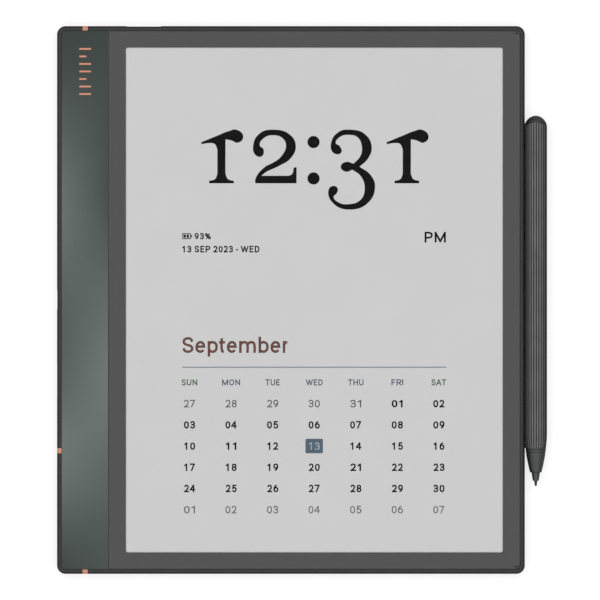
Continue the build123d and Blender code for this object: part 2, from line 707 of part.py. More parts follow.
def pen_cap():
    """The domed top end, with a plug down the barrel's bore."""
    dome = dome_arc(CAP_ANGLE, 90)
    plug_r = PEN_BORE - 0.05
    plug = Polyline(dome @ 1, (0, 67.0), (3.4, 67.0), (plug_r, 67.3), (plug_r, CAP_Y), dome @ 0)
    return revolve(make_face([*dome.edges(), *plug.edges()]), Axis.Y)


def pen_nose():
    outer = Spline((NOSE_R, NOSE_Y), (3.54, -66.0), (2.43, COLLAR_Y), tangents=[(-0.09, -1), (-0.36, -1)])
    bore = Polyline((2.43, COLLAR_Y), (0.95, COLLAR_Y), (0.95, -66.5), (2.4, -64.0), (2.4, -54.0),
                    (3.1, -54.0), (3.15, NOSE_Y), (NOSE_R, NOSE_Y))
    return revolve(make_face([*outer.edges(), *bore.edges()]), Axis.Y)


def nib_collar():
    lip = COLLAR_Y + 1.6
    return turned([(0.72, NIB_Y), (COLLAR_R[1], NIB_Y), (COLLAR_R[0], COLLAR_Y), (0.9, COLLAR_Y),
                   (0.9, lip), (0.72, lip)])


def nib():
    tip = Spline((NIB_R, NIB_Y - 0.35), (0.5, -75.9), (0, NIB_TIP_Y), tangents=[(0, -1), (-1, 0)])
    rod = Polyline((0, NIB_TIP_Y), (0, -47.0), (NIB_R, -47.0), (NIB_R, NIB_Y - 0.35))
    return revolve(make_face([*tip.edges(), *rod.edges()]), Axis.Y)


def nib_sensor():
    """The pressure capsule that the nib's rear end pushes on."""
    return turned([(0, -46.6), (1.0, -46.6), (1.0, -46.0), (2.8, -46.0), (2.8, -39.0), (0, -39.0)])


PEN_MAGNET_BAR = (1.4, 26.0, 2.4)
CARRIER_Y = (-38.0, 62.0)


def pen_magnet_box(y, gap=0.0):
    depth, length, height = PEN_MAGNET_BAR
    half = (length / 2 + gap, height / 2 + gap)
    return block((-3.2 - gap, -3.2 + depth + gap), (y - half[0], y + half[0]), symmetric(half[1]))


def pen_carrier():
    """The half-round cradle that holds the stylus's board and magnets."""
    cradle = solid_rod(PEN_BORE - 0.1, CARRIER_Y)
    cradle -= block((-1.5, PEN_BORE), CARRIER_Y, (0.0, PEN_BORE))
    cradle -= block((-PEN_BORE, -1.5), CARRIER_Y, (1.4, PEN_BORE))
    return cradle - [pen_magnet_box(y, 0.05) for y in PEN_MAGNET_Y]


def pen_board():
    board = block((-1.3, 3.1), (-36.0, 24.0), (0.0, 0.5))
    for y, width, length in [(-30, 2.6, 3.0), (-20, 3.0, 3.0), (-8, 2.0, 4.0), (6, 2.6, 2.6), (16, 2.0, 3.0)]:
        board += block((0.9 - width / 2, 0.9 + width / 2), (y - length / 2, y + length / 2), (0.5, 1.1))
    return board


# ---------------------------------------------------------------- everything, by name
def tablet_parts():
    outside = slab()
    bands = band_boxes()
    parts = {
        "mid_frame": mid_frame(outside, bands),
        **antenna_bands(outside, bands),
        "rear_cover": rear_cover(outside),
        "rubber_feet": rubber_feet(),
        "rear_cover_screws": rear_screws(),
        "cover_lens": cover_lens(),
        "side_strip": side_strip(),
        "bezel_mask": bezel_mask(),
        "lens_tape": lens_tape(),
        "strip_tape": strip_tape(),
        "light_guide": block(GUIDE_X, GUIDE_Y, GUIDE_Z),
        "front_light_strip": front_light(),
        "epaper_panel": block(PANEL_X, PANEL_Y, PANEL_Z),
        "display_backing_plate": plate(BACKING_X, BACKING_Y, BACKING_Z, 1.0),
        "pen_digitiser_board": plate(BACKING_X, BACKING_Y, DIGITISER_Z, 1.0),
        "display_flexes": [
            flex_ribbon("panel", 4.7, PANEL_X[0]),
            flex_ribbon("digitiser", 4.0, BACKING_X[0]),
            flex_ribbon("light", 4.9, LIGHT_STRIP_X[0]),
        ],
        "mainboard": mainboard(),
        "mainboard_screws": board_screws(),
        "mainboard_chips": board_chips(),
        "mainboard_connectors": board_connectors(),
        "radio_shield": shield(*RADIO_SHIELD),
        "heat_pad": heat_pad(),
        "battery_cell_left": battery_cell(CELL_X[0]),
        "battery_cell_right": battery_cell(CELL_X[1]),
        "battery_bridge_board": cell_bridge(),
        "battery_tape": battery_tape(),
        "battery_lead": battery_lead(),
        "charging_port_shell": port_shell(),
        "charging_port_tongue": port_tongue(),
        "card_reader": card_reader(),
        "card_tray": card_tray(),
        "speaker_meshes": [speaker_mesh(y) for y in SPEAKER_Y],
        "speaker_gaskets": [speaker_gasket(y) for y in SPEAKER_Y],
        "speaker_upper": speaker(SPEAKER_Y[0]),
        "speaker_lower": speaker(SPEAKER_Y[1]),
        "microphone": microphone(),
        "microphone_boot": microphone_boot(),
        "antenna_upper": antenna(1),
        "antenna_lower": antenna(-1),
        "power_button": power_button(),
        "fingerprint_sensor": fingerprint_sensor(),
        "button_switch": button_switch(),
        "button_bracket": button_bracket(),
        "pen_park_magnets": frame_magnets(),
    }
    parts.update({name: shield(*place) for name, place in SHIELDS.items()})
    return parts


def stylus_parts():
    return {
        "stylus_barrel": pen_barrel(),
        "stylus_cap": pen_cap(),
        "stylus_nose": pen_nose(),
        "stylus_nib_collar": nib_collar(),
        "stylus_nib": nib(),
        "stylus_ferrite": tube(0.85, 1.5, (-63.0, -49.0)),
        "stylus_coil": tube(1.5, 2.2, (-61.5, -52.0)),
        "stylus_pressure_sensor": nib_sensor(),
        "stylus_carrier": pen_carrier(),
        "stylus_board": pen_board(),
        "stylus_magnets": [pen_magnet_box(y) for y in PEN_MAGNET_Y],
    }


def export(name, shape, place):
    solids = [solid for item in (shape if isinstance(shape, list) else [shape]) for solid in item.solids()]
    moved = [place * solid for solid in solids]
    export_step(moved[0] if len(moved) == 1 else Compound(children=moved), f"parts/{name}.step")


def main():
    os.makedirs("parts", exist_ok=True)
    for name, shape in tablet_parts().items():
        export(name, shape, Pos(TABLET_X, 0, 0))
    for name, shape in stylus_parts().items():
        export(name, shape, Pos(TABLET_X + PEN_X, 0, PEN_Z))


main()
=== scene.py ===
"""The looks of an e-paper writing tablet and its stylus, lying screen up under a camera straight above.

Metres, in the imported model's frame: +Z up out of the screen, +Y to the top edge, +X to the stylus side.
"""

import json
import math

import bmesh
import bpy
from mathutils import Matrix, Vector


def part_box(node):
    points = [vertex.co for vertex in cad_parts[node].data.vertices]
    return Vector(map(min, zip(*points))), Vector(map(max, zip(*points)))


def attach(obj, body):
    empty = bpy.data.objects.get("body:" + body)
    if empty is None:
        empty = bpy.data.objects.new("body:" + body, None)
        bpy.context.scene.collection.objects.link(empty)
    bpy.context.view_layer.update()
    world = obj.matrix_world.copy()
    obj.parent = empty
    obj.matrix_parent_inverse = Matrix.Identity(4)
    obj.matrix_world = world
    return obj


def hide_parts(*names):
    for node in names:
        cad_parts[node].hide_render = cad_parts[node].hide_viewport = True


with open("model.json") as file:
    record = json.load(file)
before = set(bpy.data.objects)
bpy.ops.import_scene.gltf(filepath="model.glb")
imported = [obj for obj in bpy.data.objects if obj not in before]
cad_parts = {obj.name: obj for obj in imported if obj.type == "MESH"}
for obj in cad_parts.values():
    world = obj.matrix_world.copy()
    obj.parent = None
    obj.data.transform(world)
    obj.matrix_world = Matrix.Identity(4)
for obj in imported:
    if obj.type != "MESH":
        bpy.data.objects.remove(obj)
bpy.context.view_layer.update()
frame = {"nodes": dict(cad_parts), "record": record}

MM = 0.001


# ---------------------------------------------------------------- places, from the frame
def middle(node):
    low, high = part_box(node)
    return (low + high) / 2


frame_low, frame_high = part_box("mid_frame")
strip_low, strip_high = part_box("side_strip")
lens_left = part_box("cover_lens")[0].x
panel_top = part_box("epaper_panel")[1].z
guide_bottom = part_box("light_guide")[0].z
SCREEN = Vector((middle("cover_lens").x, middle("cover_lens").y, (panel_top + guide_bottom) / 2))

barrel_low, barrel_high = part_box("stylus_barrel")
dome_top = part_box("stylus_cap")[1].y
nose_low, nose_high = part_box("stylus_nose")
PEN_AXIS = Vector((middle("stylus_nose").x, 0, middle("stylus_nose").z))
PEN_R = (barrel_high.z - barrel_low.z) / 2
PEN_FLAT = PEN_AXIS.x - barrel_low.x
NOSE_R = (nose_high.x - nose_low.x) / 2
FLUTES = 26
FLUTE_DEPTH = 0.26 * MM
DOME_LENGTH = 5.0 * MM
TAPER_LENGTH = 6.4 * MM
FLUTE_END = 0.5 * MM  # short of the barrel's front edge
FLUTE_ARCH = 1.5 * MM  # how much later the flutes start at the sides than on top
FLUTE_RUN_OUT = 0.3 * MM  # over which a flute reaches its full depth
PAINTED_LIGHT_AND_SHADE = "painted_light_and_shade"  # painted light and shade on every point of a turned piece: 0 is painted shade down in a flute, up to 1 a painted highlight on the crests at the top


# ---------------------------------------------------------------- colour and node helpers
GRAIN_DEPTH = 0.05 * MM


def srgb(red, green, blue):
    """A display colour, 0 to 255 a channel, as the linear colour that shaders take."""
    def linear(value):
        value /= 255
        return value / 12.92 if value <= 0.04045 else ((value + 0.055) / 1.055) ** 2.4

    return (linear(red), linear(green), linear(blue), 1.0)


def grey(value):
    return srgb(value, value, value)


def scaled(color, factor):
    return tuple(min(1.0, channel * factor) for channel in color[:3]) + (1.0,)


def link(tree, source, target):
    tree.links.new(source, target)


def add(tree, kind, **settings):
    node = tree.nodes.new(kind)
    for name, value in settings.items():
        setattr(node, name, value)
    return node


def place_in_metres(tree, stretch=(1, 1, 1)):
    """The point on the object in the row's frame, in metres, stretched along each axis."""
    coordinates = add(tree, "ShaderNodeTexCoord")
    mapping = add(tree, "ShaderNodeMapping")
    mapping.inputs["Scale"].default_value = stretch
    link(tree, coordinates.outputs["Object"], mapping.inputs["Vector"])
    return mapping.outputs["Vector"]


def noise(tree, vector, scale, detail=2.0):
    texture = add(tree, "ShaderNodeTexNoise")
    texture.inputs["Scale"].default_value = scale
    texture.inputs["Detail"].default_value = detail
    link(tree, vector, texture.inputs["Vector"])
    return texture.outputs["Fac"]


def spread(tree, value, low, high):
    """Takes a noise value, which stays mostly between 0.3 and 0.7, to the range given."""
    node = add(tree, "ShaderNodeMapRange")
    node.inputs["From Min"].default_value = 0.3
    node.inputs["From Max"].default_value = 0.7
    node.inputs["To Min"].default_value = low
    node.inputs["To Max"].default_value = high
    link(tree, value, node.inputs["Value"])
    return node.outputs["Result"]


def mix_colors(tree, factor, first, second):
    """Mixes two colours, each a colour value or a socket."""
    node = add(tree, "ShaderNodeMix", data_type="RGBA")
    link(tree, factor, node.inputs["Factor"])
    for name, color in (("A", first), ("B", second)):
        socket = next(s for s in node.inputs if s.name == name and s.type == "RGBA")
        if isinstance(color, tuple):
            socket.default_value = color
        else:
            link(tree, color, socket)
    return next(s for s in node.outputs if s.type == "RGBA")


def relief(tree, shader, height, strength, depth):
    bump = add(tree, "ShaderNodeBump")
    bump.inputs["Strength"].default_value = strength
    bump.inputs["Distance"].default_value = depth
    link(tree, height, bump.inputs["Height"])
    link(tree, bump.outputs["Normal"], shader.inputs["Normal"])


def levelness(tree):
    """1 where the surface lies flat, whether it faces up or down, and 0 where it stands upright."""
    geometry = add(tree, "ShaderNodeNewGeometry")
    split = add(tree, "ShaderNodeSeparateXYZ")
    link(tree, geometry.outputs["Normal"], split.inputs["Vector"])
    size = add(tree, "ShaderNodeMath", operation="ABSOLUTE")
    link(tree, split.outputs["Z"], size.inputs[0])
    return size.outputs[0]


def new_material(name, metallic=0.0):
    material = bpy.data.materials.new(name)
    material.use_nodes = True
    shader = material.node_tree.nodes["Principled BSDF"]
    shader.inputs["Metallic"].default_value = metallic
    return material, material.node_tree, shader


def paint_side_shade(tree, tone, side_shade_tones):
    """Painted shade: darkens the colour where the surface rolls over, as if in shade there, and is a little
    less dark again on upright walls.
    """
    wall, roll = side_shade_tones
    over = add(tree, "ShaderNodeMapRange", interpolation_type="SMOOTHSTEP")
    over.inputs["From Min"].default_value = 0.1
    over.inputs["From Max"].default_value = 0.3
    turn = add(tree, "ShaderNodeMapRange", interpolation_type="SMOOTHSTEP")
    turn.inputs["From Min"].default_value = 0.5
    turn.inputs["From Max"].default_value = 0.97
    for node in (over, turn):
        link(tree, levelness(tree), node.inputs["Value"])
    sides = mix_colors(tree, over.outputs["Result"], wall, roll)
    return mix_colors(tree, turn.outputs["Result"], sides, tone)


def surface(name, color, roughness, metallic=0.0, grain=2500.0, stretch=(1, 1, 1), bump=0.15,
            mottle=0.06, polish=0.06, specular=0.5, side_shade_tones=None):
    """A finish with fine grain in its relief and polish, and slow changes of colour across it."""
    material, tree, shader = new_material(name, metallic)
    shader.inputs["Specular IOR Level"].default_value = specular
    place = place_in_metres(tree, stretch)
    fine = noise(tree, place, grain, 3.0)
    slow = noise(tree, place_in_metres(tree), 45.0)
    dark, light = scaled(color, 1 - mottle), scaled(color, 1 + mottle)
    tone = mix_colors(tree, spread(tree, slow, 0.0, 1.0), dark, light)
    # Painted shade on the sides when side shade tones are given: darker where the surface rolls over.
    if side_shade_tones:
        tone = paint_side_shade(tree, tone, side_shade_tones)
    link(tree, tone, shader.inputs["Base Color"])
    link(tree, spread(tree, fine, roughness - polish, roughness + polish), shader.inputs["Roughness"])
    relief(tree, shader, fine, bump, GRAIN_DEPTH)
    return material


# ---------------------------------------------------------------- finishes
# The strip's greys from its bottom end to its top end, along its outer edge and along the lens: the metal's
# own grey with painted reflections of soft light as slow light and dark bands.
STRIP_OUTER_GREY_AND_REFLECTION = (48, 76, 94, 79, 72, 80, 89, 78, 58, 43)
STRIP_INNER_GREY_AND_REFLECTION = (60, 71, 84, 95, 89, 76, 58, 55, 52, 45)


def strip_metal():
    """Satin grey-green metal, brushed along Y, with painted reflections: slow light and dark bands along each
    long edge, painted into its colour.
    """
    material, tree, shader = new_material("strip_metal", 0.2)
    shader.inputs["Specular IOR Level"].default_value = 0.25
    split = add(tree, "ShaderNodeSeparateXYZ")
    link(tree, place_in_metres(tree), split.inputs["Vector"])

    def along(axis, low, high):
        node = add(tree, "ShaderNodeMapRange")
        node.inputs["From Min"].default_value = low
        node.inputs["From Max"].default_value = high
        link(tree, split.outputs[axis], node.inputs["Value"])
        return node.outputs["Result"]

    def reflection_zones(levels):
        ramp = add(tree, "ShaderNodeValToRGB")
        ramp.color_ramp.interpolation = "CARDINAL"
        elements = ramp.color_ramp.elements
        last = len(levels) - 1
        for i, level in enumerate(levels):
            element = elements[0] if i == 0 else elements[-1] if i == last else elements.new(i / last)
            element.color = srgb(level - 4, level + 4, level + 1)
        link(tree, along("Y", strip_low.y, strip_high.y), ramp.inputs["Fac"])
        return ramp.outputs["Color"]

    # Painted reflection: the colour blends across the strip between the two edges' bands.
    across = along("X", strip_low.x, strip_high.x)
    tone = mix_colors(tree, across, reflection_zones(STRIP_OUTER_GREY_AND_REFLECTION), reflection_zones(STRIP_INNER_GREY_AND_REFLECTION))
    streaks = noise(tree, place_in_metres(tree, (1, 0.03, 1)), 6000.0, 4.0)
    brushed = mix_colors(tree, spread(tree, streaks, 0.0, 1.0), grey(0), grey(8))
    lifted = add(tree, "ShaderNodeMix", data_type="RGBA", blend_type="ADD")
    lifted.inputs["Factor"].default_value = 1.0
    colors = [socket for socket in lifted.inputs if socket.type == "RGBA"]
    link(tree, tone, colors[0])
    link(tree, brushed, colors[1])
    link(tree, next(s for s in lifted.outputs if s.type == "RGBA"), shader.inputs["Base Color"])
    link(tree, spread(tree, streaks, 0.36, 0.48), shader.inputs["Roughness"])
    relief(tree, shader, streaks, 0.05, 0.02 * MM)
    return material


def clear_sheet(name, gloss_roughness, mirror, node):
    """A clear sheet bonded to what is behind it, which shows straight through. Only its front face shines."""
    material, tree, shader = new_material(name)
    tree.nodes.remove(shader)
    place = place_in_metres(tree)
    clear = add(tree, "ShaderNodeBsdfTransparent")
    gloss = add(tree, "ShaderNodeBsdfGlossy")
    haze = spread(tree, noise(tree, place, 3000.0), gloss_roughness - 0.03, gloss_roughness + 0.03)
    link(tree, haze, gloss.inputs["Roughness"])
    facing = add(tree, "ShaderNodeFresnel")
    facing.inputs["IOR"].default_value = mirror
    split = add(tree, "ShaderNodeSeparateXYZ")
    link(tree, place, split.inputs["Vector"])
    in_front = add(tree, "ShaderNodeMath", operation="GREATER_THAN")
    in_front.inputs[1].default_value = middle(node).z
    link(tree, split.outputs["Z"], in_front.inputs[0])
    shine = add(tree, "ShaderNodeMath", operation="MULTIPLY")
    link(tree, facing.outputs["Fac"], shine.inputs[0])
    link(tree, in_front.outputs[0], shine.inputs[1])
    join = add(tree, "ShaderNodeMixShader")
    link(tree, shine.outputs[0], join.inputs["Fac"])
    link(tree, clear.outputs["BSDF"], join.inputs[1])
    link(tree, gloss.outputs["BSDF"], join.inputs[2])
    link(tree, join.outputs["Shader"], tree.nodes["Material Output"].inputs["Surface"])
    return material


def mesh_cloth(name):
    """A fine plain weave, dark, over the speakers."""
    material, tree, shader = new_material(name)
    place = place_in_metres(tree)
    threads = [add(tree, "ShaderNodeTexWave", bands_direction=direction) for direction in ("Y", "Z")]
    for wave in threads:
        wave.inputs["Scale"].default_value = 1500.0
        link(tree, place, wave.inputs["Vector"])
    woven = add(tree, "ShaderNodeMath", operation="MAXIMUM")
    for index, wave in enumerate(threads):
        link(tree, wave.outputs["Fac"], woven.inputs[index])
    link(tree, mix_colors(tree, woven.outputs[0], grey(10), grey(38)), shader.inputs["Base Color"])
    link(tree, spread(tree, woven.outputs[0], 0.9, 0.7), shader.inputs["Roughness"])
    relief(tree, shader, woven.outputs[0], 0.5, 0.1 * MM)
    return material


def fluted_metal():
    """The stylus's barrel: dark satin metal, with a painted highlight on the ridges and painted shade in the
    flutes and towards the sides.
    """
    material, tree, shader = new_material("stylus_metal", 0.06)
    shader.inputs["Specular IOR Level"].default_value = 0.02
    place = place_in_metres(tree)
    painted_light_and_shade = add(tree, "ShaderNodeAttribute", attribute_name=PAINTED_LIGHT_AND_SHADE)
    # Painted light and shade: dark in the flutes and towards the sides, light on the ridges at the top.
    tone = mix_colors(tree, painted_light_and_shade.outputs["Fac"], grey(14), grey(112))
    worn = mix_colors(tree, spread(tree, noise(tree, place, 120.0), 0.0, 0.2), tone, grey(40))
    fine = noise(tree, place, 5000.0, 3.0)
    link(tree, worn, shader.inputs["Base Color"])
    link(tree, spread(tree, fine, 0.36, 0.5), shader.inputs["Roughness"])
    relief(tree, shader, fine, 0.15, GRAIN_DEPTH)
    return material


def finishes():
    """Every material slot's finish, by the slot's name in the record."""
    # Painted shade for the frame's and the nose's sides: the tone on upright walls, then the darker tone
    # where the surface rolls over.
    frame_side_shade = (grey(34), grey(6))
    nose_side_shade = (grey(30), grey(22))
    return {
        "frame_metal": surface(
            "frame_metal", grey(51), 0.5, 0.4, 5000.0, specular=0.12, side_shade_tones=frame_side_shade
        ),
        "cover_metal": surface("cover_metal", srgb(58, 61, 61), 0.52, 0.4, 5000.0, bump=0.2),
        "strip_metal": strip_metal(),
        "lens_glass": clear_sheet("lens_glass", 0.3, 1.2, "cover_lens"),
        "bezel_ink": surface(
            "bezel_ink", grey(75), 0.7, grain=6000.0, bump=0.05, mottle=0.015, specular=0.05
        ),
        "light_guide": clear_sheet("light_guide", 0.2, 1.02, "light_guide"),
        "epaper": surface("epaper", grey(194), 0.9, grain=9000.0, bump=0.05, mottle=0.008, specular=0.1),
        "orange_plastic": surface("orange_plastic", srgb(182, 118, 92), 0.45, grain=4000.0, mottle=0.04),
        "rubber": surface("rubber", grey(34), 0.85, grain=3500.0, bump=0.4),
        "steel": surface("steel", grey(165), 0.32, 1.0, 3000.0, stretch=(1, 0.05, 1), bump=0.1),
        "circuit_board": surface("circuit_board", srgb(20, 72, 50), 0.4, grain=1200.0, bump=0.3),
        "chip_black": surface("chip_black", grey(34), 0.6, grain=5000.0, bump=0.3),
        "cell_foil": surface("cell_foil", grey(150), 0.45, 0.9, 700.0, bump=0.3),
        "copper": surface("copper", srgb(200, 120, 75), 0.3, 1.0, 4000.0, stretch=(0.05, 1, 0.05), bump=0.6),
        "ferrite": surface("ferrite", grey(58), 0.7, grain=4000.0, bump=0.4),
        "magnet": surface("magnet", grey(190), 0.2, 1.0, 2000.0),
        "black_plastic": surface("black_plastic", grey(28), 0.5, grain=2500.0, bump=0.25),
        "gloss_black": surface("gloss_black", grey(16), 0.12, grain=1500.0, bump=0.02, polish=0.03),
        "flex_film": surface("flex_film", srgb(160, 95, 30), 0.35, grain=900.0),
        "tape": surface("tape", grey(48), 0.9, grain=2500.0, bump=0.5),
        "mesh": mesh_cloth("mesh"),
        "stylus_metal": fluted_metal(),
        "stylus_plastic": surface(
            "stylus_plastic", srgb(60, 63, 62), 0.5, 0.2, 5000.0, specular=0.3, side_shade_tones=nose_side_shade
        ),
        "nib_plastic": surface("nib_plastic", grey(48), 0.6, grain=3000.0, specular=0.2),
    }


FINISH = finishes()
SLOT_OF = {entry["node"]: entry["material_slot"] for entry in frame["record"]["subparts"]}


def dress_frame():
    for name, node in frame["nodes"].items():
        node.data.materials.clear()
        node.data.materials.append(FINISH[SLOT_OF[name]])


# ---------------------------------------------------------------- building pieces
def finish_piece(mesh, name, material, body):
    mesh.materials.clear()
    mesh.materials.append(material)
    piece = bpy.data.objects.new(name, mesh)
    bpy.context.scene.collection.objects.link(piece)
    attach(piece, body)
    return piece


def as_mesh(curve):
    """The filled mesh of a text or outline curve."""
    holder = bpy.data.objects.new(curve.name, curve)
    bpy.context.scene.collection.objects.link(holder)
    bpy.context.view_layer.update()
    mesh = bpy.data.meshes.new_from_object(holder)
    bpy.data.objects.remove(holder)
    return mesh


def built(shape, name):
    """The bmesh as a mesh."""
    mesh = bpy.data.meshes.new(name)
    shape.to_mesh(mesh)
    shape.free()
    return mesh


def reach_in_x(mesh):
    xs = [vertex.co.x for vertex in mesh.vertices]
    return min(xs), max(xs)


def tube_of_rings(shape, rings):
    """Faces between each ring of points and the next, and over both ends."""
    count = len(rings[0])
    for near, far in zip(rings, rings[1:]):
        for j in range(count):
            k = (j + 1) % count
            shape.faces.new((near[j], near[k], far[k], far[j]))
    shape.faces.new(rings[0])
    shape.faces.new(rings[-1])
    bmesh.ops.recalc_face_normals(shape, faces=shape.faces)


# ---------------------------------------------------------------- what the screen shows
# Millimetres from the middle of the screen. Each mark is a film of its own, under the light guide.
PRINT_THICK = 0.006 * MM
SMOOTH = "AUTO"
CORNER = "VECTOR"


def outline(points):
    """A filled shape from (x, y) points on smooth stretches and (x, y, CORNER) points at corners."""
    curve = bpy.data.curves.new("outline", "CURVE")
    curve.dimensions = "2D"
    curve.fill_mode = "BOTH"
    curve.extrude = PRINT_THICK
    curve.resolution_u = 8
    spline = curve.splines.new("BEZIER")
    spline.bezier_points.add(len(points) - 1)
    spline.use_cyclic_u = True
    for place, (x, y, *kind) in zip(spline.bezier_points, points):
        place.co = (x, y, 0)
        place.handle_left_type = place.handle_right_type = kind[0] if kind else SMOOTH
    return as_mesh(curve)


def moved(mesh, x, y, scale_x, scale_y=None):
    """The mesh scaled, then put at x, y on the screen, in millimetres."""
    size = Matrix.Diagonal((scale_x * MM, (scale_y or scale_x) * MM, 1, 1))
    mesh.transform(Matrix.Translation(SCREEN + Vector((x, y, 0)) * MM) @ size)
    return mesh


# Plain sans letters as pen strokes: advance, left edge and width in cap heights, then strokes of points.
# A point is hundredths of the letter's width and of the cap height, and is smooth unless it is a CORNER.
RING = [(50, 100), (12, 84), (0, 50), (12, 16), (50, 0), (88, 16), (100, 50), (88, 84), (50, 100)]
BOWL = [(0, 52), (16, 65), (50, 71), (88, 60), (100, 36), (88, 11), (50, 0), (16, 6), (0, 19)]
SIX = [(82, 99), (36, 90), (6, 56), (0, 33), (12, 9), (50, 0), (88, 9), (100, 32), (88, 56), (52, 64),
       (18, 55), (3, 38)]


def straight(*points):
    return [(x, y, CORNER) for x, y in points]


def part_of(shape, low, high):
    """A stroke squeezed into the box from low to high."""
    return [(low[0] + x * (high[0] - low[0]) / 100, low[1] + y * (high[1] - low[1]) / 100) for x, y in shape]


STEM = straight((0, 0), (0, 100))
CAP_BOWL = [(0, 100, CORNER), (52, 100), (90, 91), (100, 72), (90, 53), (52, 45), (0, 45, CORNER)]
LETTERS = {
    "0": (0.79, 0.08, 0.63, [RING]),
    "1": (0.79, 0.11, 0.39, [straight((100, 0), (100, 98)), straight((96, 96), (0, 79))]),
    "2": (0.79, 0.06, 0.66, [[(2, 72), (14, 92), (46, 100), (80, 92), (92, 73), (80, 47), (4, 0, CORNER)],
                             straight((4, 0), (100, 0))]),
    "3": (0.79, 0.07, 0.65, [[(3, 75), (15, 93), (48, 100), (82, 92), (93, 75), (80, 58), (34, 53, CORNER)],
                             [(40, 53), (82, 46), (98, 27), (84, 7), (48, 0), (14, 7), (0, 25)]]),
    "4": (0.79, 0.03, 0.73, [straight((77, 0), (77, 98)), straight((73, 98), (2, 30)),
                             straight((2, 30), (100, 30))]),
    "5": (0.79, 0.11, 0.62, [straight((16, 100), (90, 100)), straight((15, 100), (8, 51)),
                             [(8, 51, CORNER), (48, 63), (86, 54), (99, 32), (84, 8), (46, 0), (12, 7),
                              (0, 23)]]),
    "6": (0.79, 0.09, 0.63, [SIX]),
    "7": (0.79, 0.05, 0.68, [straight((2, 100), (98, 100)), straight((98, 98), (30, 0))]),
    "8": (0.79, 0.08, 0.63, [part_of(RING, (6, 53), (94, 100)), part_of(RING, (0, 0), (100, 53))]),
    "9": (0.79, 0.07, 0.62, [[(100 - x, 100 - y) for x, y in SIX]]),
    "%": (1.03, 0.07, 0.9, [part_of(RING, (0, 56), (34, 100)), part_of(RING, (66, 0), (100, 44)),
                            straight((76, 90), (24, 10))]),
    "-": (0.39, 0.03, 0.33, [straight((0, 38), (100, 38))]),
    " ": (0.35, 0, 0, []),
    "A": (0.92, 0.02, 0.88, [straight((0, 0), (48, 98)), straight((100, 0), (52, 98)),
                             straight((18, 32), (82, 32))]),
    "D": (0.92, 0.12, 0.73, [STEM, [(0, 100, CORNER), (42, 100), (84, 85), (100, 50), (84, 15), (42, 0),
                                    (0, 0, CORNER)]]),
    "E": (0.8, 0.12, 0.63, [STEM, straight((0, 100), (98, 100)), straight((0, 53), (84, 53)),
                            straight((0, 0), (100, 0))]),
    "F": (0.78, 0.12, 0.62, [STEM, straight((0, 100), (100, 100)), straight((0, 51), (84, 51))]),
    "H": (1.0, 0.12, 0.77, [STEM, straight((100, 0), (100, 100)), straight((0, 53), (100, 53))]),
    "I": (0.38, 0.12, 0.14, [straight((50, 0), (50, 100))]),
    "M": (1.23, 0.12, 0.99, [STEM, straight((0, 98), (50, 4)), straight((50, 4), (100, 98)),
                             straight((100, 0), (100, 100))]),
    "N": (1.0, 0.12, 0.77, [STEM, straight((2, 96), (98, 4)), straight((100, 0), (100, 100))]),
    "O": (0.97, 0.08, 0.8, [RING]),
    "P": (0.89, 0.12, 0.72, [STEM, CAP_BOWL]),
    "R": (0.87, 0.12, 0.73, [STEM, CAP_BOWL, straight((52, 44), (97, 0))]),
    "S": (0.83, 0.06, 0.71, [[(98, 74), (85, 93), (50, 100), (14, 92), (3, 75), (15, 59), (50, 50), (86, 40),
                              (99, 24), (86, 7), (50, 0), (14, 7), (0, 26)]]),
    "T": (0.84, 0.03, 0.78, [straight((0, 100), (100, 100)), straight((50, 0), (50, 98))]),
    "U": (0.91, 0.09, 0.74, [[(0, 100, CORNER), (0, 34), (14, 8), (50, 0), (86, 8), (100, 34),
                              (100, 100, CORNER)]]),
    "W": (1.25, 0.03, 1.19, [straight((0, 98), (26, 4)), straight((26, 4), (50, 94)),
                             straight((50, 94), (74, 4)), straight((74, 4), (100, 98))]),
    "b": (0.79, 0.09, 0.64, [straight((0, 0), (0, 104)), BOWL]),
    "e": (0.75, 0.06, 0.63, [[(2, 38, CORNER), (98, 38, CORNER), (86, 62), (52, 71), (14, 60), (0, 35),
                              (14, 9), (54, 0), (92, 11)]]),
    "m": (1.23, 0.09, 1.05, [straight((0, 0), (0, 71)),
                             [(0, 52), (12, 66), (28, 71), (44, 65), (50, 48), (50, 0, CORNER)],
                             [(50, 52), (62, 66), (78, 71), (94, 65), (100, 46), (100, 0, CORNER)]]),
    "p": (0.79, 0.09, 0.64, [straight((0, -28), (0, 71)), BOWL]),
    "r": (0.48, 0.09, 0.38, [straight((0, 0), (0, 71)), [(0, 48), (34, 68), (94, 70)]]),
    "t": (0.46, 0.01, 0.41, [[(42, 92, CORNER), (42, 18), (58, 2), (94, 1)], straight((4, 70), (92, 70))]),
}


def pen_strokes(strokes, pen, origin, width):
    """Strokes of one letter as flat ribbons a pen's width wide, in cap heights."""
    curve = bpy.data.curves.new("letter", "CURVE")
    curve.dimensions = "2D"
    curve.bevel_depth = pen / 2
    curve.bevel_resolution = 0
    curve.resolution_u = 6
    for stroke in strokes:
        spline = curve.splines.new("BEZIER")
        spline.bezier_points.add(len(stroke) - 1)
        for place, (x, y, *kind) in zip(spline.bezier_points, stroke):
            place.co = (origin + pen / 2 + x / 100 * (width - pen), pen / 2 + y / 100 * (1 - pen), 0)
            place.handle_left_type = place.handle_right_type = kind[0] if kind else SMOOTH
        lengthen(spline, pen / 2)
    return as_mesh(curve)


def lengthen(spline, reach):
    """Carries a stroke's straight ends on by half the pen's width, so that they end square on the line."""
    points = spline.bezier_points
    for end, other in ((points[0], points[1]), (points[-1], points[-2])):
        if end.handle_left_type == CORNER:
            end.co += (end.co - other.co).normalized() * reach


